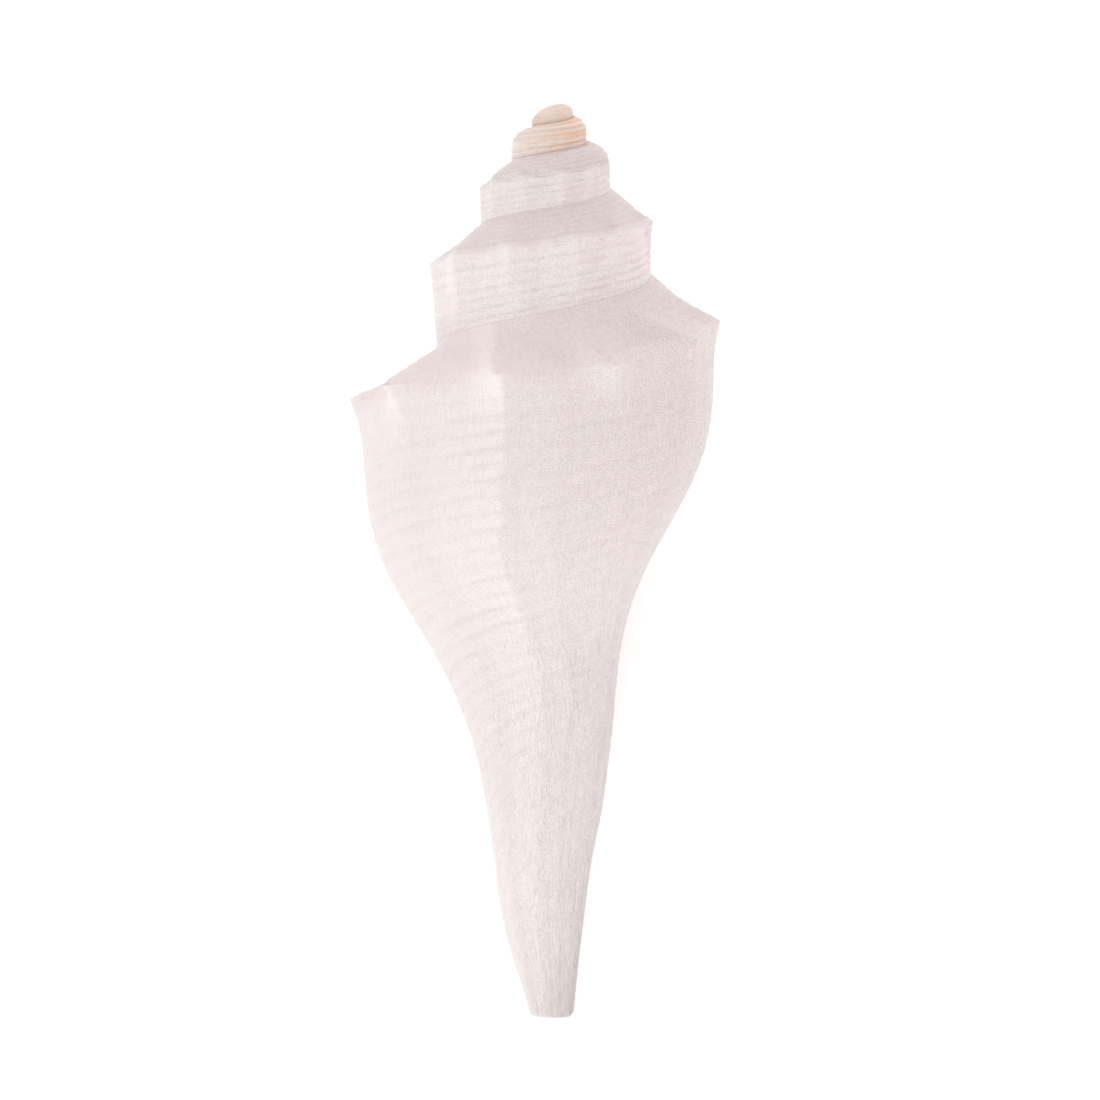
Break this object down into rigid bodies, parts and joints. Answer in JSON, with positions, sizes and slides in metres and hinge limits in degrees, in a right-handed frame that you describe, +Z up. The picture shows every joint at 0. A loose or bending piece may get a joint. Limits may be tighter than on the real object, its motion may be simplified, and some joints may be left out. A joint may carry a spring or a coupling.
{
  "type": "knobbed spindle-shaped conch shell",
  "caption": "Dry white sea shell with a knobbed shoulder, a stepped spire and a long tapering canal, lying on its opening.",
  "frame": {"origin": "centre of the bounding box in X and Y, on the surface that the shell lies on", "axes": "+Z up; the shell's axis runs along Y and climbs 10.8 degrees towards its spire at +Y; the canal's end points to -Y; the lip side is -X"},
  "size_m": [0.0528, 0.1282, 0.0454],
  "materials": {
    "shell": "chalky off-white aragonite with fine cords and growth lines, faintly pink in the shade, tan on the first two whorls"
  },
  "bodies": {
    "root": {"shell": "shell"}
  },
  "joints": []
}
